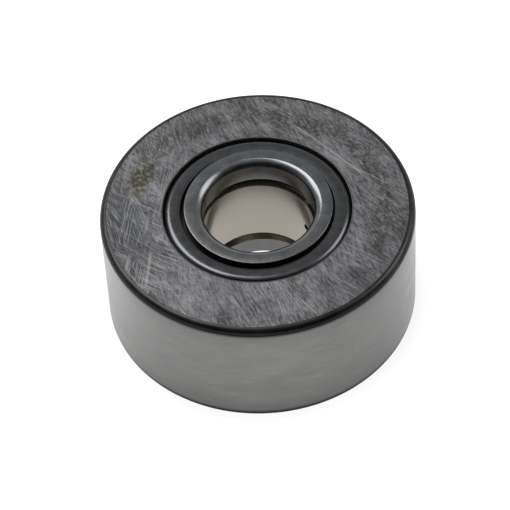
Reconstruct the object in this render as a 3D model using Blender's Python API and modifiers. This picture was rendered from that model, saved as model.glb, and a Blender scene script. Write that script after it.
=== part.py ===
"""A yoke type cam follower: a thick outer ring that rolls on a cam, on two full rows of rollers.

The bore runs along Z, and the origin is the centre of the follower. Lengths are in metres.
A turned piece is given as a profile of (radius, height) points. The profile runs inwards across
the top, down the outer side, and back up the inner side.
"""

import math

import bmesh
import bpy

MM = 0.001

# Driving dimensions: the standard size of a follower for a 15 mm pin
BORE_RADIUS = 7.5 * MM
OUTER_RADIUS = 21.0 * MM
OUTER_HALF_WIDTH = 9.0 * MM
OVERALL_HALF_WIDTH = 9.5 * MM
COLLAR_RADIUS = 9.9 * MM

# Rollers: two rows, each one full circle with no cage
ROLLERS_PER_ROW = 19
ROLLER_RADIUS = 2.0 * MM
ROLLER_LENGTH = 5.4 * MM
ROLLER_CHAMFER = 0.2 * MM
PITCH_RADIUS = 12.2 * MM
ROW_HEIGHT = 2.75 * MM

# Clearances
RUNNING_CLEARANCE = 0.02 * MM
ABUTTING_GAP = 0.05 * MM
PRESSED_GAP = 0.03 * MM

# Outer ring
TREAD_CORNER = 0.9 * MM
RACEWAY_HALF_WIDTH = 5.55 * MM
RIB_BORE_RADIUS = 12.2 * MM
SEAL_SEAT_RADIUS = 12.6 * MM
SEAL_SHOULDER_HEIGHT = 6.95 * MM
SEAL_SEAT_CHAMFER = 0.08 * MM

# Inner ring
INNER_HALF_WIDTH = 5.5 * MM
INNER_BORE_CHAMFER = 0.6 * MM
INNER_RACEWAY_CHAMFER = 0.2 * MM
OIL_HOLE_RADIUS = 0.5 * MM
OIL_HOLE_SIDES = 12
OIL_HOLE_AZIMUTH = math.radians(30)

# Side plates: each has a flange beside the rollers and a collar that stands proud of the outer ring
FLANGE_RADIUS = 11.7 * MM
FLANGE_TOP = 7.9 * MM
FLANGE_EDGE = 0.12 * MM
COLLAR_EDGE = 0.2 * MM
PLATE_INNER_CHAMFER = 0.75 * MM
BORE_ROUND_WIDTH = 1.15 * MM
BORE_ROUND_DEPTH = 0.9 * MM

# Seal rings: sheet steel bent to an angle, pressed into the outer ring around the flange
SEAL_SHEET = 0.7 * MM
SEAL_TOP = 8.9 * MM
SEAL_FOOT = 7.0 * MM
SEAL_LIP_RADIUS = 10.45 * MM
SEAL_BEND = 0.9 * MM

# Steels: base colour, and roughness
GROUND_STEEL = (0.18, 0.182, 0.186), 0.32
HONED_STEEL = (0.37, 0.337, 0.29), 0.22
SATIN_STEEL = (0.158, 0.163, 0.169), 0.24
SHEET_STEEL = (0.085, 0.087, 0.09), 0.24
POLISHED_STEEL = (0.59, 0.59, 0.59), 0.11

RING_SIDES = 64
ROLLER_SIDES = 14
SHARP_ANGLE = math.radians(30)
MERGE = 0.001 * MM


def hollow(radius):
    """The corner radius of a faceted bore whose flats lie on the given radius."""
    return radius / math.cos(math.pi / RING_SIDES)


def arc(centre, size, start, end, steps):
    """Points on an ellipse's arc in a profile, from one angle in degrees to another."""
    points = []
    for step in range(steps + 1):
        angle = math.radians(start + (end - start) * step / steps)
        radius = centre[0] + size[0] * math.cos(angle)
        height = centre[1] + size[1] * math.sin(angle)
        points.append((radius, height))
    return points


def mirrored(upper):
    """A whole profile from its upper half."""
    lower = [(radius, -height) for radius, height in reversed(upper)]
    return upper + lower


def clear_scene():
    for thing in list(bpy.data.objects):
        bpy.data.objects.remove(thing, do_unlink=True)


def new_collection(name):
    collection = bpy.data.collections.new(name)
    bpy.context.scene.collection.children.link(collection)
    return collection


def steel(name, colour, roughness):
    material = bpy.data.materials.new(name)
    material.use_nodes = True
    shader = material.node_tree.nodes["Principled BSDF"]
    shader.inputs["Base Color"].default_value = (*colour, 1.0)
    shader.inputs["Metallic"].default_value = 1.0
    shader.inputs["Roughness"].default_value = roughness
    material.diffuse_color = (*colour, 1.0)
    return material


def empty(name, height=0.0):
    """A parent on the follower's axis, for the pieces that turn about it together."""
    parent = bpy.data.objects.new(name, None)
    parent.empty_display_size = OUTER_RADIUS
    parent.location.z = height
    parts.objects.link(parent)
    return parent


def turned(name, profile, material):
    """A ring turned about Z from a closed profile."""
    mesh = bpy.data.meshes.new(name)
    points = [(radius, 0.0, height) for radius, height in profile]
    edges = [(index, (index + 1) % len(points)) for index in range(len(points))]
    mesh.from_pydata(points, edges, [])
    mesh.materials.append(material)
    ring = bpy.data.objects.new(name, mesh)
    parts.objects.link(ring)
    screw = ring.modifiers.new("Turn", "SCREW")
    screw.axis = "Z"
    screw.angle = math.tau
    screw.steps = RING_SIDES
    screw.render_steps = RING_SIDES
    screw.use_merge_vertices = True
    screw.merge_threshold = MERGE
    return ring


def finish_surface(piece):
    """Applies a piece's modifiers, and shades it smooth with its real edges left sharp."""
    graph = bpy.context.evaluated_depsgraph_get()
    mesh = bpy.data.meshes.new_from_object(piece.evaluated_get(graph))
    piece.modifiers.clear()
    piece.data = mesh
    mesh.name = piece.name
    mesh.shade_smooth()
    mesh.set_sharp_from_angle(angle=SHARP_ANGLE)


def turned_over(name, original):
    """The same piece for the lower side, turned half a turn about X."""
    lower = bpy.data.objects.new(name, original.data)
    lower.rotation_euler.x = math.pi
    parts.objects.link(lower)
    return lower


def outer_ring_profile():
    raceway = PITCH_RADIUS + ROLLER_RADIUS + RUNNING_CLEARANCE
    seat_edge = hollow(SEAL_SEAT_RADIUS) + SEAL_SEAT_CHAMFER
    corner_centre = (OUTER_RADIUS - TREAD_CORNER, OUTER_HALF_WIDTH - TREAD_CORNER)
    upper = [
        (hollow(raceway), RACEWAY_HALF_WIDTH),
        (hollow(RIB_BORE_RADIUS), RACEWAY_HALF_WIDTH),
        (hollow(RIB_BORE_RADIUS), SEAL_SHOULDER_HEIGHT),
        (hollow(SEAL_SEAT_RADIUS), SEAL_SHOULDER_HEIGHT),
        (hollow(SEAL_SEAT_RADIUS), OUTER_HALF_WIDTH - SEAL_SEAT_CHAMFER),
        (seat_edge, OUTER_HALF_WIDTH),
    ]
    upper += arc(corner_centre, (TREAD_CORNER, TREAD_CORNER), 90, 0, 4)
    return mirrored(upper)


def inner_ring_profile():
    raceway = PITCH_RADIUS - ROLLER_RADIUS - RUNNING_CLEARANCE
    bore = hollow(BORE_RADIUS)
    upper = [
        (bore, INNER_HALF_WIDTH - INNER_BORE_CHAMFER),
        (bore + INNER_BORE_CHAMFER, INNER_HALF_WIDTH),
        (raceway - INNER_RACEWAY_CHAMFER, INNER_HALF_WIDTH),
        (raceway, INNER_HALF_WIDTH - INNER_RACEWAY_CHAMFER),
    ]
    return mirrored(upper)


def side_plate_profile():
    bore = hollow(BORE_RADIUS)
    inner_face = INNER_HALF_WIDTH + ABUTTING_GAP
    round_centre = (bore + BORE_ROUND_WIDTH, OVERALL_HALF_WIDTH - BORE_ROUND_DEPTH)
    collar_centre = (COLLAR_RADIUS - COLLAR_EDGE, OVERALL_HALF_WIDTH - COLLAR_EDGE)
    profile = [
        (bore + PLATE_INNER_CHAMFER, inner_face),
        (bore, inner_face + PLATE_INNER_CHAMFER),
    ]
    profile += arc(round_centre, (BORE_ROUND_WIDTH, BORE_ROUND_DEPTH), 180, 90, 4)
    profile += arc(collar_centre, (COLLAR_EDGE, COLLAR_EDGE), 90, 0, 2)
    profile += [
        (COLLAR_RADIUS, FLANGE_TOP),
        (FLANGE_RADIUS - FLANGE_EDGE, FLANGE_TOP),
        (FLANGE_RADIUS, FLANGE_TOP - FLANGE_EDGE),
        (FLANGE_RADIUS, inner_face + FLANGE_EDGE),
        (FLANGE_RADIUS - FLANGE_EDGE, inner_face),
    ]
    return profile


def seal_ring_profile():
    outer = SEAL_SEAT_RADIUS - PRESSED_GAP
    bend_centre = (outer - SEAL_BEND, SEAL_TOP - SEAL_BEND)
    inner_bend = SEAL_BEND - SEAL_SHEET
    lip = hollow(SEAL_LIP_RADIUS)
    profile = [(lip, SEAL_TOP - SEAL_SHEET), (lip, SEAL_TOP)]
    profile += arc(bend_centre, (SEAL_BEND, SEAL_BEND), 90, 0, 4)
    profile += [(outer, SEAL_FOOT), (outer - SEAL_SHEET, SEAL_FOOT)]
    profile += arc(bend_centre, (inner_bend, inner_bend), 0, 90, 2)
    return profile


def make_oil_hole_cutter():
    """A pin through one wall of the inner ring, half way along it."""
    shape = bmesh.new()
    bmesh.ops.create_cone(
        shape,
        cap_ends=True,
        segments=OIL_HOLE_SIDES,
        radius1=OIL_HOLE_RADIUS,
        radius2=OIL_HOLE_RADIUS,
        depth=BORE_RADIUS,
    )
    mesh = bpy.data.meshes.new("oil_hole_cutter")
    shape.to_mesh(mesh)
    shape.free()
    cutter = bpy.data.objects.new("oil_hole_cutter", mesh)
    cutter.rotation_euler = (0.0, math.pi / 2, OIL_HOLE_AZIMUTH)
    wall_middle = (BORE_RADIUS + PITCH_RADIUS - ROLLER_RADIUS) / 2
    cutter.location.x = wall_middle * math.cos(OIL_HOLE_AZIMUTH)
    cutter.location.y = wall_middle * math.sin(OIL_HOLE_AZIMUTH)
    cutter.hide_render = True
    cutter.display_type = "WIRE"
    cutters.objects.link(cutter)
    return cutter


def make_outer_ring(parent):
    material = steel("outer_ring_steel", *GROUND_STEEL)
    ring = turned("outer_ring", outer_ring_profile(), material)
    finish_surface(ring)
    ring.parent = parent


def make_inner_ring(parent):
    material = steel("inner_ring_steel", *HONED_STEEL)
    ring = turned("inner_ring", inner_ring_profile(), material)
    drill = ring.modifiers.new("Oil hole", "BOOLEAN")
    drill.operation = "DIFFERENCE"
    drill.object = make_oil_hole_cutter()
    bpy.context.view_layer.update()
    finish_surface(ring)
    ring.parent = parent


def make_side_plates(parent):
    material = steel("side_plate_steel", *SATIN_STEEL)
    upper = turned("upper_side_plate", side_plate_profile(), material)
    finish_surface(upper)
    upper.parent = parent
    turned_over("lower_side_plate", upper).parent = parent


def make_seal_rings(parent):
    material = steel("seal_ring_steel", *SHEET_STEEL)
    upper = turned("upper_seal_ring", seal_ring_profile(), material)
    finish_surface(upper)
    upper.parent = parent
    turned_over("lower_seal_ring", upper).parent = parent


def roller_mesh():
    """A short cylinder with both rims chamfered."""
    shape = bmesh.new()
    bmesh.ops.create_cone(
        shape,
        cap_ends=True,
        segments=ROLLER_SIDES,
        radius1=ROLLER_RADIUS,
        radius2=ROLLER_RADIUS,
        depth=ROLLER_LENGTH,
    )
    rims = [edge for edge in shape.edges if edge.calc_face_angle() > SHARP_ANGLE]
    bmesh.ops.bevel(shape, geom=rims, offset=ROLLER_CHAMFER, segments=1, affect="EDGES")
    mesh = bpy.data.meshes.new("roller")
    shape.to_mesh(mesh)
    shape.free()
    mesh.shade_smooth()
    mesh.set_sharp_from_angle(angle=SHARP_ANGLE)
    mesh.materials.append(steel("roller_steel", *POLISHED_STEEL))
    return mesh


def make_roller_row(side, height, first_angle, mesh):
    """A full circle of rollers. Each roller's origin is on its own axis."""
    row = empty(side + "_row", height)
    for index in range(ROLLERS_PER_ROW):
        angle = first_angle + math.tau * index / ROLLERS_PER_ROW
        roller = bpy.data.objects.new(f"{side}_roller_{index + 1:02d}", mesh)
        roller.location.x = PITCH_RADIUS * math.cos(angle)
        roller.location.y = PITCH_RADIUS * math.sin(angle)
        roller.rotation_euler.z = angle
        roller.parent = row
        parts.objects.link(roller)


clear_scene()
parts = new_collection("Cam follower")
cutters = new_collection("Cutters")

fixed_half = empty("inner_assembly")
rolling_half = empty("outer_assembly")

make_outer_ring(rolling_half)
make_seal_rings(rolling_half)
make_inner_ring(fixed_half)
make_side_plates(fixed_half)

shared_roller = roller_mesh()
half_a_pitch = math.pi / ROLLERS_PER_ROW
make_roller_row("upper", ROW_HEIGHT, 0.0, shared_roller)
make_roller_row("lower", -ROW_HEIGHT, half_a_pitch, shared_roller)
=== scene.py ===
"""A yoke type cam follower on a white table, at rest.

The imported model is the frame. Every CAD node is replaced here by a finely turned piece inside the
same box, with its edges broken and its finishes separate. Lengths are in metres.
"""

import math

import bmesh
import bpy
from mathutils import Euler, Matrix, Quaternion, Vector


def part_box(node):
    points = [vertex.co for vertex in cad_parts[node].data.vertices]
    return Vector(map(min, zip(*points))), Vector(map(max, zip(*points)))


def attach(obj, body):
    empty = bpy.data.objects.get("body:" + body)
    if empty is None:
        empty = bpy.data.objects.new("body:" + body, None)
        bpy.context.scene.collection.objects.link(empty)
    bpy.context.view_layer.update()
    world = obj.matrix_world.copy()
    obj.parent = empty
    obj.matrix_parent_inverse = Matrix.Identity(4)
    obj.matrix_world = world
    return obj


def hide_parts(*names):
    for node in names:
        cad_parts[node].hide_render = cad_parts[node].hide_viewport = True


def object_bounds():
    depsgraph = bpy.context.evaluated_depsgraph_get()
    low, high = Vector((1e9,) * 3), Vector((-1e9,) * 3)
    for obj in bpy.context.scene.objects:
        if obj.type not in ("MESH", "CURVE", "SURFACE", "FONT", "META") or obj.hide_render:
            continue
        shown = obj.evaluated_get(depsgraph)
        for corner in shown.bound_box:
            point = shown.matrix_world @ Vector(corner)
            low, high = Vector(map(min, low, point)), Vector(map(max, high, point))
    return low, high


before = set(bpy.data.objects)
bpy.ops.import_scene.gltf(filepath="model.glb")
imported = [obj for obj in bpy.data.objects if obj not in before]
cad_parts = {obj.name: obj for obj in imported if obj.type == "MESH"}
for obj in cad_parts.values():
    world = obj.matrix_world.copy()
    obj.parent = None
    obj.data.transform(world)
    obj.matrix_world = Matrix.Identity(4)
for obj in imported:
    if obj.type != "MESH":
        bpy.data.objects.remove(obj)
cad_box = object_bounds()

MM = 0.001

# Sizes that the frame's boxes give
OUTER_LOW, OUTER_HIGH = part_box("outer_ring")
INNER_LOW, INNER_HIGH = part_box("inner_ring")
PLATE_LOW, PLATE_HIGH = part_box("upper_side_plate")
SEAL_LOW, SEAL_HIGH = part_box("upper_seal_ring")
ROLLER_LOW, ROLLER_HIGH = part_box("upper_roller_01")

OUTER_RADIUS = OUTER_HIGH.x
OUTER_TOP = OUTER_HIGH.z
INNER_RACEWAY = INNER_HIGH.x
INNER_TOP = INNER_HIGH.z
PLATE_TOP = PLATE_HIGH.z
PLATE_FOOT = PLATE_LOW.z
FLANGE_RADIUS = PLATE_HIGH.x
SEAL_RADIUS = SEAL_HIGH.x
SEAL_TOP = SEAL_HIGH.z
SEAL_FOOT = SEAL_LOW.z
ROLLER_LENGTH = ROLLER_HIGH.z - ROLLER_LOW.z

# Sizes inside those boxes. The seal's lip and bend and the bore's rounding differ a little from
# the CAD model's, and the side plates sit a little off centre.
BORE_RADIUS = 7.5 * MM
COLLAR_RADIUS = 9.9 * MM
FLANGE_TOP = 7.9 * MM
TREAD_CORNER = 0.9 * MM
RACEWAY_TOP = 5.55 * MM
RIB_BORE = 12.2 * MM
SEAL_SEAT = 12.6 * MM
SEAL_SHOULDER = 6.95 * MM
SEAL_SHEET = 0.7 * MM
SEAL_LIP = 10.34 * MM
SEAL_BEND = 1.0 * MM
SEAL_LIP_EDGE = 0.015 * MM
BORE_ROUND = (0.99 * MM, 0.82 * MM)
PLATE_OFFSET = 0.14 * MM
INNER_CHAMFER = 0.6 * MM
COLLAR_EDGE_DEPTH = 0.3 * MM
PLATE_CHAMFER = 0.75 * MM
ROLLER_RADIUS = 2.0 * MM
ROLLERS_PER_ROW = 19
OUTER_RACEWAY = 14.22 * MM
OIL_HOLE_RADIUS = 0.5 * MM
OIL_HOLE_AZIMUTH = math.radians(30)

RING_SIDES = 256
ROLLER_SIDES = 48
SHARP_ANGLE = math.radians(35)


# Profiles


def arc(centre, size, start, end, steps=8):
    """Points on an ellipse's arc in a profile, from one angle in degrees to another."""
    points = []
    for step in range(steps + 1):
        angle = math.radians(start + (end - start) * step / steps)
        x = centre[0] + size[0] * math.cos(angle)
        z = centre[1] + size[1] * math.sin(angle)
        points.append((x, z))
    return points


def curve(start, start_pull, end_pull, end, steps):
    """Points on a cubic curve between two ends, each with its pull."""
    points = []
    for step in range(steps + 1):
        t = step / steps
        weights = ((1 - t) ** 3, 3 * t * (1 - t) ** 2, 3 * t * t * (1 - t), t**3)
        controls = (start, start_pull, end_pull, end)
        x = sum(weight * control[0] for weight, control in zip(weights, controls))
        z = sum(weight * control[1] for weight, control in zip(weights, controls))
        points.append((x, z))
    return points


def softened(corners, radius, steps=4):
    """An open run of corners with each inner one rounded off."""
    points = [corners[0]]
    for before, corner, after in zip(corners, corners[1:], corners[2:]):
        here = Vector(corner)
        back = Vector(before) - here
        ahead = Vector(after) - here
        reach = min(radius, back.length / 2.2, ahead.length / 2.2)
        start = here + back.normalized() * reach
        end = here + ahead.normalized() * reach
        for step in range(steps + 1):
            t = step / steps
            points.append(tuple((1 - t) ** 2 * start + 2 * t * (1 - t) * here + t * t * end))
    points.append(corners[-1])
    return points


def turned_over(strokes):
    """The strokes of a profile's lower half, from those of its upper half."""
    lower = []
    for finish, points in reversed(strokes):
        lower.append((finish, [(x, -z) for x, z in reversed(points)]))
    return lower


def turned_piece(name, strokes, materials, sides=RING_SIDES, centre=(0.0, 0.0, 0.0)):
    """A piece turned from strokes of (finish, points), each starting where the last one ended."""
    finishes = list(dict.fromkeys(finish for finish, _ in strokes))
    points = [strokes[0][1][0]]
    edge_finish = []
    for finish, stroke in strokes:
        for point in stroke[1:]:
            points.append(point)
            edge_finish.append(finishes.index(finish))
    on_axis = points[0][0] == 0.0
    if not on_axis:
        points.pop()
    shape = bmesh.new()
    rings = []
    for x, z in points:
        if x == 0.0:
            rings.append([shape.verts.new((0.0, 0.0, z))] * sides)
            continue
        ring = []
        for side in range(sides):
            angle = math.tau * side / sides
            ring.append(shape.verts.new((x * math.cos(angle), x * math.sin(angle), z)))
        rings.append(ring)
    for index, finish in enumerate(edge_finish):
        upper = rings[index]
        lower = rings[(index + 1) % len(rings)]
        for side in range(sides):
            after = (side + 1) % sides
            loop = [upper[side], lower[side], lower[after], upper[after]]
            corners = list(dict.fromkeys(loop))
            face = shape.faces.new(corners)
            face.material_index = finish
    bmesh.ops.translate(shape, verts=shape.verts, vec=centre)
    mesh = bpy.data.meshes.new(name)
    shape.to_mesh(mesh)
    shape.free()
    for finish in finishes:
        mesh.materials.append(materials[finish])
    piece = bpy.data.objects.new(name, mesh)
    bpy.context.scene.collection.objects.link(piece)
    shade(piece)
    return piece


def shade(piece):
    """Smooth, with real edges sharp, and flats kept flat beside their rounded edges."""
    piece.data.shade_smooth()
    piece.data.set_sharp_from_angle(angle=SHARP_ANGLE)
    weighted = piece.modifiers.new("Flat faces stay flat", "WEIGHTED_NORMAL")
    weighted.weight = 100
    weighted.keep_sharp = True


# Materials


def add(tree, kind, inputs=(), **settings):
    """A node, with its settings, and its inputs given by name or index as values or as sockets."""
    node = tree.nodes.new(kind)
    for key, value in settings.items():
        setattr(node, key, value)
    for key, value in dict(inputs).items():
        if isinstance(value, bpy.types.NodeSocket):
            tree.links.new(value, node.inputs[key])
        else:
            node.inputs[key].default_value = value
    return node


def calc(tree, operation, *values, clamp=False):
    node = add(tree, "ShaderNodeMath", operation=operation, use_clamp=clamp)
    for index, value in enumerate(values):
        if isinstance(value, bpy.types.NodeSocket):
            tree.links.new(value, node.inputs[index])
        else:
            node.inputs[index].default_value = value
    return node.outputs[0]


def ranged(tree, value, low, high, to_low, to_high):
    """A value moved from one range to another, and clamped to it."""
    inputs = {0: value, 1: low, 2: high, 3: to_low, 4: to_high}
    return add(tree, "ShaderNodeMapRange", inputs).outputs[0]


def noise(tree, place, scale, detail=2.0, stretch=(1, 1, 1), turn=(0, 0, 0), shift=(0, 0, 0)):
    """Noise about scale cycles to the metre, stretched along the axes of a turned space."""
    inputs = {"Vector": place, "Location": shift, "Rotation": turn, "Scale": stretch}
    moved = add(tree, "ShaderNodeMapping", inputs, vector_type="TEXTURE")
    inputs = {"Vector": moved.outputs[0], "Scale": scale, "Detail": detail}
    return add(tree, "ShaderNodeTexNoise", inputs).outputs[0]


def mixed(tree, amount, first, second):
    inputs = {0: amount, 6: first, 7: second}
    return add(tree, "ShaderNodeMix", inputs, data_type="RGBA").outputs[2]


def new_metal(name):
    """A metal's node tree, its shader, and the piece's own coordinates in metres."""
    material = bpy.data.materials.new(name)
    material.use_nodes = True
    tree = material.node_tree
    shader = tree.nodes["Principled BSDF"]
    shader.inputs["Metallic"].default_value = 1.0
    place = add(tree, "ShaderNodeTexCoord").outputs["Object"]
    return material, tree, shader, place


def finish_metal(tree, shader, colour, roughness, height=None, depth=0.0):
    """Links a metal's colour and roughness, and its bump if it has one."""
    tree.links.new(colour, shader.inputs["Base Color"])
    tree.links.new(roughness, shader.inputs["Roughness"])
    if height is not None:
        inputs = {"Height": height, "Distance": depth, "Strength": 1.0}
        bump = add(tree, "ShaderNodeBump", inputs)
        tree.links.new(bump.outputs[0], shader.inputs["Normal"])


def grey(value, tint=(1.0, 1.0, 1.0)):
    return tuple(value * part for part in tint) + (1.0,)


def stroked(tree, place, angle, across, along, seed):
    """Noise drawn out into strokes along one direction, and spread to run from 0 to 1."""
    turn = (0.0, 0.0, math.radians(angle))
    shift = (seed * 0.013, seed * 0.007, seed)
    grain = noise(tree, place, 1 / across, 2.0, (along / across, 1, 1), turn, shift)
    return ranged(tree, grain, 0.38, 0.62, 0.0, 1.0)


def scratch_family(tree, place, angle, spacing, seed):
    """Fine scratches along one direction: where a drawn-out noise crosses its middle value."""
    turn = (0.0, 0.0, math.radians(angle))
    shift = (seed * 0.013, seed * 0.007, seed)
    grain = noise(tree, place, 1 / spacing, 2.0, (26, 1, 1), turn, shift)
    line = calc(tree, "ABSOLUTE", calc(tree, "SUBTRACT", grain, 0.5))
    line = ranged(tree, line, 0.0, 0.035, 1.0, 0.0)
    patches = noise(tree, place, 1 / (5 * spacing), 1.0, (2, 1, 1), turn, shift)
    return calc(tree, "MULTIPLY", line, ranged(tree, patches, 0.43, 0.57, 0.0, 1.0))


def local_axes(tree, place, origin, angle):
    """The place along and across a line on the face, from an origin given in outer radii."""
    location = (origin[0] * OUTER_RADIUS, origin[1] * OUTER_RADIUS, 0.0)
    inputs = {"Vector": place, "Location": location, "Rotation": (0.0, 0.0, angle)}
    moved = add(tree, "ShaderNodeMapping", inputs, vector_type="TEXTURE").outputs[0]
    parts = add(tree, "ShaderNodeSeparateXYZ", {0: moved})
    return parts.outputs[0], parts.outputs[1]


def from_line(tree, place, centre=(0.0, 0.0)):
    """The distance from an upright line through a point of the face given in outer radii."""
    parts = add(tree, "ShaderNodeSeparateXYZ", {0: place})
    flat = add(tree, "ShaderNodeCombineXYZ", {0: parts.outputs[0], 1: parts.outputs[1]}).outputs[0]
    middle = (centre[0] * OUTER_RADIUS, centre[1] * OUTER_RADIUS, 0.0)
    return add(tree, "ShaderNodeVectorMath", {0: flat, 1: middle}, operation="DISTANCE").outputs[1]


def single_scratch(tree, place, start, end, width):
    """One scratch between two points of the face, given in outer radii, that bows a little."""
    run = (Vector(end) - Vector(start)) * OUTER_RADIUS
    along, across = local_axes(tree, place, start, math.atan2(run.y, run.x))
    sag = calc(tree, "MULTIPLY", along, calc(tree, "SUBTRACT", along, run.length))
    across = calc(tree, "ADD", across, calc(tree, "MULTIPLY", sag, 3.0))
    line = ranged(tree, calc(tree, "ABSOLUTE", across), 0.2 * width, width, 1.0, 0.0)
    begin = ranged(tree, along, 0.0, run.length * 0.2, 0.0, 1.0)
    stop = ranged(tree, along, run.length * 0.8, run.length, 1.0, 0.0)
    return calc(tree, "MULTIPLY", line, calc(tree, "MULTIPLY", begin, stop))


def stain_band(tree, place):
    """A mottled stain over the far half of the face, in place of its marking."""
    radius = from_line(tree, place)
    off_middle = calc(tree, "ABSOLUTE", calc(tree, "SUBTRACT", radius, 0.8 * OUTER_RADIUS))
    band = ranged(tree, off_middle, 0.04 * OUTER_RADIUS, 0.09 * OUTER_RADIUS, 1.0, 0.0)
    lean, _ = local_axes(tree, place, (0.0, 0.0), math.radians(69))
    side = ranged(tree, lean, -0.2 * OUTER_RADIUS, -0.06 * OUTER_RADIUS, 0.0, 1.0)
    return calc(tree, "MULTIPLY", band, side)


def make_scratched_face():
    """The outer ring's side faces: ground flat, then scuffed and scratched in many directions."""
    material, tree, shader, place = new_metal("scratched_face_steel")
    parts = add(tree, "ShaderNodeSeparateXYZ", {0: place})
    x, y = parts.outputs[0], parts.outputs[1]
    left = ranged(tree, x, -0.25 * OUTER_RADIUS, -0.65 * OUTER_RADIUS, 0.0, 1.0)
    slant = calc(tree, "ADD", x, calc(tree, "MULTIPLY", y, 0.5))
    right = ranged(tree, slant, -0.3 * OUTER_RADIUS, 0.4 * OUTER_RADIUS, 0.0, 1.0)
    # Scuffs: direction in degrees, width and length in millimetres, weight, and where
    scuffs = [
        (-70, 0.2, 2.8, 0.38, 1.0),
        (-34, 0.2, 4.0, 0.4, left),
        (-42, 0.2, 4.0, 0.38, right),
        (82, 0.2, 4.0, 0.4, left),
        (-60, 0.35, 0.7, 0.42, 1.0),
        (-60, 2.5, 3.5, 0.35, 1.0),
    ]
    grains = []
    level = 0.5
    for seed, (angle, across, along, weight, where) in enumerate(scuffs, 1):
        scuff = stroked(tree, place, angle, across * MM, along * MM, seed)
        grains.append(scuff)
        scuff = calc(tree, "MULTIPLY", calc(tree, "SUBTRACT", scuff, 0.5), weight)
        level = calc(tree, "ADD", level, calc(tree, "MULTIPLY", scuff, where))
    cool = (0.98, 0.995, 1.03)
    base = mixed(tree, level, grey(0.08, cool), grey(0.275, cool))
    # Painted shade in darker patches: middle in outer radii, radius in millimetres, and strength
    patches = [
        ((-0.93, -0.1), 8, 0.92),
        ((-0.76, -0.5), 7, 0.88),
        ((-0.4, -0.78), 6, 0.3),
        ((0.85, -0.38), 6, 0.25),
        ((0.58, -0.74), 7, 0.5),
        ((-0.42, 0.78), 6, 0.55),
    ]
    for centre, radius, strength in patches:
        away = from_line(tree, place, centre)
        painted_shade_patch = ranged(tree, away, 0.2 * radius * MM, radius * MM, strength, 0.0)
        base = mixed(tree, painted_shade_patch, base, grey(0.06, cool))
    rim = ranged(tree, from_line(tree, place), 0.86 * OUTER_RADIUS, 0.96 * OUTER_RADIUS, 0.0, 0.3)
    base = mixed(tree, rim, base, grey(0.05))
    # Scratches: direction in degrees, spacing in millimetres, and where
    scratches = [
        (-60, 0.55, 0.8),
        (-38, 0.55, right),
        (-32, 0.6, left),
        (80, 0.5, left),
        (-77, 0.5, 0.7),
    ]
    bright = dull = 0.0
    for seed, (angle, spacing, where) in enumerate(scratches, 10):
        family = scratch_family(tree, place, angle, spacing * MM, seed)
        bright = calc(tree, "MAXIMUM", bright, calc(tree, "MULTIPLY", family, where))
    for seed, angle in enumerate((-55, 4, 88), 20):
        family = scratch_family(tree, place, angle, 0.42 * MM, seed)
        dull = calc(tree, "MAXIMUM", dull, family)
    base = mixed(tree, calc(tree, "MULTIPLY", dull, 0.5), base, grey(0.03))
    base = mixed(tree, calc(tree, "MULTIPLY", bright, 0.62), base, grey(0.4, cool))
    mottle = ranged(tree, noise(tree, place, 1 / (0.55 * MM), 3.0), 0.42, 0.56, 0.15, 1.0)
    stain = calc(tree, "MULTIPLY", stain_band(tree, place), mottle)
    base = mixed(tree, calc(tree, "MULTIPLY", stain, 0.6), base, grey(0.05, (1.05, 1.0, 0.9)))
    # One olive spot, also in place of a marking
    along, across = local_axes(tree, place, (-0.73, 0.31), math.radians(67))
    spot_length = ranged(tree, calc(tree, "ABSOLUTE", along), 2.2 * MM, 3.6 * MM, 1.0, 0.0)
    spot_width = ranged(tree, calc(tree, "ABSOLUTE", across), 1.0 * MM, 1.9 * MM, 1.0, 0.0)
    spot = calc(tree, "MULTIPLY", calc(tree, "MULTIPLY", spot_length, spot_width), mottle)
    base = mixed(tree, calc(tree, "MULTIPLY", spot, 0.8), base, grey(0.06, (1.25, 1.08, 0.5)))
    # Single scratches: ends in outer radii, half width in millimetres, and strength
    singles = [
        ((0.21, 0.75), (0.74, 0.16), 0.1, 0.5),
        ((-0.68, -0.29), (-0.72, -0.6), 0.3, 0.22),
        ((-0.95, -0.05), (-0.6, -0.35), 0.1, 0.2),
        ((-0.9, -0.2), (-0.55, -0.5), 0.1, 0.2),
        ((-0.9, 0.2), (-0.63, 0.02), 0.1, 0.2),
        ((-0.2, -0.68), (-0.08, -0.93), 0.1, 0.3),
        ((0.22, -0.74), (0.34, -0.9), 0.1, 0.35),
        ((0.6, 0.32), (0.86, 0.12), 0.1, 0.3),
    ]
    for start, end, width, strength in singles:
        line = single_scratch(tree, place, start, end, width * MM)
        base = mixed(tree, calc(tree, "MULTIPLY", line, strength), base, grey(0.6))
    roughness = ranged(tree, level, 0.0, 1.0, 0.3, 0.38)
    finish_metal(tree, shader, base, roughness, grains[0], 0.0015 * MM)
    return material


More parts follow.
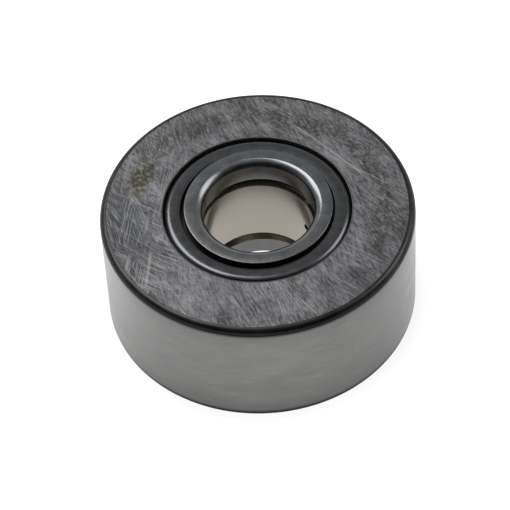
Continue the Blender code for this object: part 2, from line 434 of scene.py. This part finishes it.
def make_ground_tread():
    """The tread: ground round and round, clouded by use, with a few small marks."""
    material, tree, shader, place = new_metal("ground_tread_steel")
    rings = noise(tree, place, 1 / (0.12 * MM), 3.0, (60, 60, 1))
    cloud = noise(tree, place, 1 / (2.5 * MM), 3.0, (2.5, 2.5, 1))
    both = calc(tree, "ADD", calc(tree, "MULTIPLY", rings, 0.35), calc(tree, "MULTIPLY", cloud, 0.65))
    warm = (1.0, 1.0, 0.98)
    base = mixed(tree, ranged(tree, both, 0.36, 0.64, 0.0, 1.0), grey(0.122, warm), grey(0.15, warm))
    rubs = noise(tree, place, 1 / (0.22 * MM), 1.0, (12, 12, 1), (0, 0, 0), (0.2, 0.1, 0))
    base = mixed(tree, ranged(tree, rubs, 0.6, 0.7, 0.0, 0.35), base, grey(0.2, warm))
    specks = noise(tree, place, 1 / (0.8 * MM), 1.0)
    base = mixed(tree, ranged(tree, specks, 0.74, 0.78, 0.0, 0.35), base, grey(0.08))
    height = calc(tree, "ABSOLUTE", add(tree, "ShaderNodeSeparateXYZ", {0: place}).outputs[2])
    edge = OUTER_TOP - TREAD_CORNER
    base = mixed(tree, ranged(tree, height, edge - 3 * MM, edge, 0.0, 0.35), base, grey(0.06))
    base = mixed(tree, ranged(tree, height, edge - 0.5 * MM, edge, 0.0, 1.0), base, grey(0.012))
    roughness = ranged(tree, both, 0.36, 0.64, 0.26, 0.36)
    finish_metal(tree, shader, base, roughness, rings, 0.001 * MM)
    return material


def make_dark_corner():
    """The turned corners, which keep the dark skin of hardening because nothing grinds them."""
    material, tree, shader, place = new_metal("hardened_corner_steel")
    skin = noise(tree, place, 1 / (0.8 * MM), 4.0, (4, 4, 1))
    skin = ranged(tree, skin, 0.3, 0.7, 0.0, 1.0)
    worn = mixed(tree, skin, grey(0.028), grey(0.043))
    height = calc(tree, "ABSOLUTE", add(tree, "ShaderNodeSeparateXYZ", {0: place}).outputs[2])
    up = ranged(tree, height, OUTER_TOP - TREAD_CORNER, OUTER_TOP - 0.3 * MM, 0.0, 1.0)
    base = mixed(tree, up, grey(0.001), worn)
    shader.inputs["Specular Tint"].default_value = grey(0.8)
    roughness = ranged(tree, skin, 0.0, 1.0, 0.32, 0.4)
    finish_metal(tree, shader, base, roughness, skin, 0.002 * MM)
    return material


def make_turned_steel(name, dark, light, rough, tint=(1.0, 1.0, 1.0), ring=0.12):
    """Satin steel with the faint rings that turning leaves, finer than the eye splits."""
    material, tree, shader, place = new_metal(name)
    height = add(tree, "ShaderNodeSeparateXYZ", {0: place}).outputs[2]
    polar = add(tree, "ShaderNodeCombineXYZ", {0: from_line(tree, place), 1: height}).outputs[0]
    rings = noise(tree, polar, 1 / (ring * MM), 2.0)
    cloud = noise(tree, place, 1 / (1.5 * MM), 4.0)
    both = calc(tree, "ADD", calc(tree, "MULTIPLY", rings, 0.45), calc(tree, "MULTIPLY", cloud, 0.55))
    base = mixed(tree, ranged(tree, both, 0.35, 0.65, 0.0, 1.0), grey(dark, tint), grey(light, tint))
    roughness = ranged(tree, both, 0.35, 0.65, rough, rough + 0.08)
    finish_metal(tree, shader, base, roughness, both, 0.0015 * MM)
    return material


def make_honed_bore():
    """The inner ring's bore and raceway: bright, fine and faintly warm."""
    material, tree, shader, place = new_metal("honed_bore_steel")
    rings = noise(tree, place, 1 / (0.12 * MM), 2.0, (40, 40, 1))
    warm = (1.1, 1.0, 0.86)
    base = mixed(tree, ranged(tree, rings, 0.3, 0.7, 0.0, 1.0), grey(0.325, warm), grey(0.345, warm))
    roughness = ranged(tree, rings, 0.3, 0.7, 0.2, 0.24)
    shader.inputs["Anisotropic"].default_value = 0.8
    shader.inputs["Anisotropic Rotation"].default_value = 0.25
    around = add(tree, "ShaderNodeTangent", direction_type="RADIAL", axis="Z").outputs[0]
    tree.links.new(around, shader.inputs["Tangent"])
    finish_metal(tree, shader, base, roughness, rings, 0.0001 * MM)
    return material


def make_polished_roller():
    material, tree, shader, place = new_metal("polished_roller_steel")
    rings = noise(tree, place, 1 / (0.08 * MM), 2.0, (30, 30, 1))
    base = mixed(tree, ranged(tree, rings, 0.3, 0.7, 0.0, 1.0), grey(0.56), grey(0.62))
    roughness = ranged(tree, rings, 0.3, 0.7, 0.08, 0.14)
    finish_metal(tree, shader, base, roughness, rings, 0.0005 * MM)
    return material


# Pieces


def make_outer_ring(materials):
    seat_end = (SEAL_SEAT, OUTER_TOP - 0.15 * MM)
    seat = softened(
        [
            (OUTER_RACEWAY, RACEWAY_TOP),
            (RIB_BORE, RACEWAY_TOP),
            (RIB_BORE, SEAL_SHOULDER),
            (SEAL_SEAT, SEAL_SHOULDER),
            seat_end,
        ],
        0.08 * MM,
    )
    face_start = (SEAL_SEAT + 0.2 * MM, OUTER_TOP)
    seat_edge = softened([seat_end, (SEAL_SEAT, OUTER_TOP), face_start], 0.08 * MM)
    flat_end = OUTER_RADIUS - TREAD_CORNER
    corner_centre = (flat_end, OUTER_TOP - TREAD_CORNER)
    upper = [
        # The seat's edge, at the crevice beside the seal, gets painted shade from the groove finish.
        ("seat", seat),
        ("groove", seat_edge),
        ("face", [face_start, (flat_end, OUTER_TOP)]),
        ("corner", arc(corner_centre, (TREAD_CORNER, TREAD_CORNER), 90, 0, 12)),
    ]
    tread = [(OUTER_RADIUS, OUTER_TOP - TREAD_CORNER), (OUTER_RADIUS, TREAD_CORNER - OUTER_TOP)]
    raceway = [(OUTER_RACEWAY, -RACEWAY_TOP), (OUTER_RACEWAY, RACEWAY_TOP)]
    strokes = upper + [("tread", tread)] + turned_over(upper) + [("bore", raceway)]
    ring = turned_piece("outer_ring_turned", strokes, materials)
    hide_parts("outer_ring")
    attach(ring, "outer_ring_assembly")


def make_inner_ring(materials):
    chamfer_foot = (BORE_RADIUS, INNER_TOP - INNER_CHAMFER)
    on_top = (BORE_RADIUS + 2 * INNER_CHAMFER, INNER_TOP)
    chamfer = softened([chamfer_foot, (BORE_RADIUS + INNER_CHAMFER, INNER_TOP), on_top], 0.3 * MM)
    raceway_end = (INNER_RACEWAY, INNER_TOP - INNER_CHAMFER)
    shoulder = softened([on_top, (INNER_RACEWAY, INNER_TOP), raceway_end], 0.12 * MM)
    half = [
        ("bore", [(BORE_RADIUS, 0.0), chamfer_foot]),
        ("chamfer", chamfer),
        # The shoulder inside the side plate gets painted shade from the groove finish.
        ("groove", shoulder),
        ("bore", [raceway_end, (INNER_RACEWAY, 0.0)]),
    ]
    strokes = half + turned_over(half)
    ring = turned_piece("inner_ring_turned", strokes, materials)
    drill_oil_hole(ring)
    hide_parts("inner_ring")
    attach(ring, "inner_ring_assembly")


def drill_oil_hole(ring):
    """Cuts the radial oil hole through the inner ring's wall, and applies the cut."""
    shape = bmesh.new()
    bmesh.ops.create_cone(
        shape,
        cap_ends=True,
        segments=32,
        radius1=OIL_HOLE_RADIUS,
        radius2=OIL_HOLE_RADIUS,
        depth=BORE_RADIUS,
    )
    mesh = bpy.data.meshes.new("oil_hole")
    shape.to_mesh(mesh)
    shape.free()
    cutter = bpy.data.objects.new("oil_hole", mesh)
    bpy.context.scene.collection.objects.link(cutter)
    cutter.rotation_euler = Euler((0.0, math.pi / 2, OIL_HOLE_AZIMUTH))
    outwards = Vector((math.cos(OIL_HOLE_AZIMUTH), math.sin(OIL_HOLE_AZIMUTH), 0.0))
    cutter.location = 1.2 * BORE_RADIUS * outwards
    cut = ring.modifiers.new("Oil hole", "BOOLEAN")
    cut.operation = "DIFFERENCE"
    cut.object = cutter
    bpy.context.view_layer.update()
    graph = bpy.context.evaluated_depsgraph_get()
    ring.data = bpy.data.meshes.new_from_object(ring.evaluated_get(graph))
    ring.modifiers.clear()
    bpy.data.objects.remove(cutter)
    shade(ring)


def make_side_plate(side, sign, materials):
    foot = (BORE_RADIUS, PLATE_TOP - BORE_ROUND[1])
    foot_pull = (BORE_RADIUS, PLATE_TOP - 0.45 * BORE_ROUND[1])
    head_pull = (BORE_RADIUS + 0.8 * BORE_ROUND[0], PLATE_TOP)
    head = (BORE_RADIUS + BORE_ROUND[0], PLATE_TOP)
    rounding = curve(foot, foot_pull, head_pull, head, 16)
    collar_wall = (COLLAR_RADIUS, PLATE_TOP - COLLAR_EDGE_DEPTH)
    collar = softened([rounding[-1], (COLLAR_RADIUS, PLATE_TOP), collar_wall], 0.09 * MM)
    # The collar's wall gets painted shade from the groove finish.
    wall = [collar_wall, (COLLAR_RADIUS, FLANGE_TOP)]
    # The flange gets painted shade from the gap finish.
    outer_side = softened(
        [
            wall[-1],
            (FLANGE_RADIUS, FLANGE_TOP),
            (FLANGE_RADIUS, PLATE_FOOT),
            (BORE_RADIUS + PLATE_CHAMFER, PLATE_FOOT),
        ],
        0.16 * MM,
    )
    chamfer = [outer_side[-1], (BORE_RADIUS, PLATE_FOOT + PLATE_CHAMFER)]
    bore = [chamfer[-1], rounding[0]]
    strokes = [("plate", rounding), ("plate", collar), ("groove", wall), ("gap", outer_side)]
    strokes += [("chamfer", chamfer), ("plate_bore", bore)]
    off_centre = (PLATE_OFFSET, 0.0, 0.0)
    plate = turned_piece(side + "_side_plate_turned", strokes, materials, centre=off_centre)
    turn_to_side(plate, sign)
    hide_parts(side + "_side_plate")
    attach(plate, "inner_ring_assembly")


def make_seal_ring(side, sign, materials):
    bend_centre = (SEAL_RADIUS - SEAL_BEND, SEAL_TOP - SEAL_BEND)
    inner_bend = SEAL_BEND - SEAL_SHEET
    bend = arc(bend_centre, (SEAL_BEND, SEAL_BEND), 90, 0, 12)
    leg = [
        bend[-1],
        (SEAL_RADIUS, SEAL_FOOT),
        (SEAL_RADIUS - SEAL_SHEET, SEAL_FOOT),
        (SEAL_RADIUS - SEAL_SHEET, bend_centre[1]),
    ]
    inside = arc(bend_centre, (inner_bend, inner_bend), 0, 90, 6)
    lip_edge = arc(
        (SEAL_LIP + SEAL_LIP_EDGE, SEAL_TOP - SEAL_LIP_EDGE),
        (SEAL_LIP_EDGE, SEAL_LIP_EDGE),
        180,
        90,
        4,
    )
    lip = [inside[-1], (SEAL_LIP, SEAL_TOP - SEAL_SHEET), lip_edge[0]]
    strokes = [
        ("seal", bend),
        ("seal", softened(leg, 0.15 * MM)),
        # The bend's inside and the lip get painted shade from the groove finish.
        ("groove", inside),
        ("groove", lip),
        ("seal", lip_edge + [bend[0]]),
    ]
    ring = turned_piece(side + "_seal_ring_pressed", strokes, materials)
    turn_to_side(ring, sign)
    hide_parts(side + "_seal_ring")
    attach(ring, "outer_ring_assembly")


def turn_to_side(piece, sign):
    """Turns a piece made for the upper side over onto the lower one."""
    if sign < 0:
        piece.data.transform(Matrix.Rotation(math.pi, 4, "X"))


def make_rollers(side, materials):
    half = ROLLER_LENGTH / 2
    corners = [(0.0, half), (ROLLER_RADIUS, half), (ROLLER_RADIUS, -half), (0.0, -half)]
    strokes = [("roller", softened(corners, 0.2 * MM))]
    for index in range(1, ROLLERS_PER_ROW + 1):
        node = f"{side}_roller_{index:02d}"
        low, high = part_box(node)
        centre = (low + high) / 2
        roller = turned_piece(node + "_ground", strokes, materials, ROLLER_SIDES, centre)
        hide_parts(node)
        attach(roller, node)


# Stage


TABLE_RADIUS = 3.0
TABLE_CLEARANCE = 0.01 * MM
CAMERA_DISTANCE = 0.3885
CAMERA_ELEVATION = math.radians(50.14)
CAMERA_ROLL = math.radians(-3.37)
CAMERA_LENS = 203.0
CAMERA_SHIFT = (-0.0096, -0.0069)


def make_table():
    """A round white table that glows, with a painted shadow: dimmer under the follower and to its
    right.
    """
    shape = bmesh.new()
    bmesh.ops.create_circle(shape, cap_ends=True, segments=96, radius=TABLE_RADIUS)
    height = cad_box[0].z - TABLE_CLEARANCE
    bmesh.ops.translate(shape, verts=shape.verts, vec=(0.0, 0.0, height))
    mesh = bpy.data.meshes.new("table")
    shape.to_mesh(mesh)
    shape.free()
    material = bpy.data.materials.new("white_table")
    material.use_nodes = True
    shader = material.node_tree.nodes["Principled BSDF"]
    shader.inputs["Base Color"].default_value = (0.1, 0.1, 0.1, 1.0)
    shader.inputs["Roughness"].default_value = 1.0
    shader.inputs["Specular IOR Level"].default_value = 0.0
    shader.inputs["Emission Color"].default_value = (1.0, 1.0, 1.0, 1.0)
    tree = material.node_tree
    place = add(tree, "ShaderNodeTexCoord").outputs["Object"]
    glow_with_painted_shadow = ranged(tree, from_line(tree, place), OUTER_RADIUS, 1.45 * OUTER_RADIUS, 0.95, 1.5)
    x = add(tree, "ShaderNodeSeparateXYZ", {0: place}).outputs[0]
    shaded = ranged(tree, x, 0.4 * OUTER_RADIUS, 1.5 * OUTER_RADIUS, 1.0, 0.86)
    glow_with_painted_shadow = calc(tree, "MULTIPLY", glow_with_painted_shadow, shaded)
    tree.links.new(glow_with_painted_shadow, shader.inputs["Emission Strength"])
    mesh.materials.append(material)
    table = bpy.data.objects.new("table", mesh)
    bpy.context.scene.collection.objects.link(table)


def make_world():
    """A soft studio: pale walls low down, dimmer overhead, and dark on the camera's side."""
    world = bpy.data.worlds.new("Studio")
    bpy.context.scene.world = world
    world.use_nodes = True
    tree = world.node_tree
    background = tree.nodes["Background"]
    direction = add(tree, "ShaderNodeTexCoord").outputs["Generated"]
    parts = add(tree, "ShaderNodeSeparateXYZ", {0: direction})
    walls = ranged(tree, parts.outputs[2], 0.1, 0.85, 1.1, 0.25)
    overhead = ranged(tree, parts.outputs[2], 0.82, 0.96, 0.0, 0.45)
    behind = ranged(tree, parts.outputs[1], -0.55, 0.1, 0.06, 1.0)
    left = ranged(tree, parts.outputs[0], -0.9, -0.2, 0.45, 1.0)
    right = ranged(tree, parts.outputs[0], 0.2, 0.8, 1.0, 0.5)
    level = calc(tree, "MULTIPLY", calc(tree, "ADD", walls, overhead), behind)
    level = calc(tree, "MULTIPLY", level, calc(tree, "MULTIPLY", left, right))
    tree.links.new(level, background.inputs["Strength"])
    background.inputs["Color"].default_value = (1.0, 1.0, 1.0, 1.0)


def make_light(name, azimuth, elevation, distance, size, power):
    """A softbox that faces the follower."""
    lamp = bpy.data.lights.new(name, "AREA")
    lamp.shape = "RECTANGLE"
    lamp.size, lamp.size_y = size
    lamp.energy = power
    light = bpy.data.objects.new(name, lamp)
    across = math.radians(azimuth)
    up = math.radians(elevation)
    away = Vector((math.cos(up) * math.cos(across), math.cos(up) * math.sin(across), math.sin(up)))
    light.location = away * distance
    light.rotation_euler = away.to_track_quat("Z", "Y").to_euler()
    bpy.context.scene.collection.objects.link(light)


def make_camera():
    data = bpy.data.cameras.new("Camera")
    data.lens = CAMERA_LENS
    data.sensor_width = 36.0
    data.shift_x, data.shift_y = CAMERA_SHIFT
    data.clip_start = 0.01
    camera = bpy.data.objects.new("Camera", data)
    away = Vector((0.0, -math.cos(CAMERA_ELEVATION), math.sin(CAMERA_ELEVATION)))
    camera.location = away * CAMERA_DISTANCE
    camera.rotation_mode = "QUATERNION"
    level = away.to_track_quat("Z", "Y")
    camera.rotation_quaternion = level @ Quaternion((0.0, 0.0, 1.0), CAMERA_ROLL)
    bpy.context.scene.collection.objects.link(camera)
    bpy.context.scene.camera = camera


make_camera()
make_table()
make_world()
make_light("left_softbox", 138, 56, 0.6, (0.34, 0.46), 2.5)
make_light("right_softbox", 17, 41, 0.6, (0.27, 0.36), 1.15)
bpy.context.scene.view_settings.view_transform = "Standard"

plate_blue = (0.97, 1.0, 1.04)
finishes = {
    "face": make_scratched_face(),
    "tread": make_ground_tread(),
    "corner": make_dark_corner(),
    "plate": make_turned_steel("side_plate_satin_steel", 0.145, 0.18, 0.2, plate_blue),
    "plate_bore": make_turned_steel("side_plate_bore_steel", 0.135, 0.16, 0.18, (1.03, 1.0, 0.97)),
    "seal": make_turned_steel("seal_sheet_steel", 0.078, 0.096, 0.2, plate_blue),
    "bore": make_honed_bore(),
    "chamfer": make_turned_steel("chamfer_turned_steel", 0.12, 0.16, 0.24, (1.06, 1.0, 0.93)),
    # The groove finish is painted shade: dark steel on the walls of grooves and crevices.
    "groove": make_turned_steel("groove_painted_shade_steel", 0.07, 0.11, 0.3),
    # The gap finish is painted shade: near-black steel on the flange that sits in the gap under the
    # seal.
    "gap": make_turned_steel("gap_painted_shade_steel", 0.012, 0.022, 0.35),
    "seat": make_turned_steel("seal_seat_steel", 0.4, 0.46, 0.25),
    "roller": make_polished_roller(),
}

make_outer_ring(finishes)
make_inner_ring(finishes)
for side, sign in (("upper", 1), ("lower", -1)):
    make_side_plate(side, sign, finishes)
    make_seal_ring(side, sign, finishes)
    make_rollers(side, finishes)
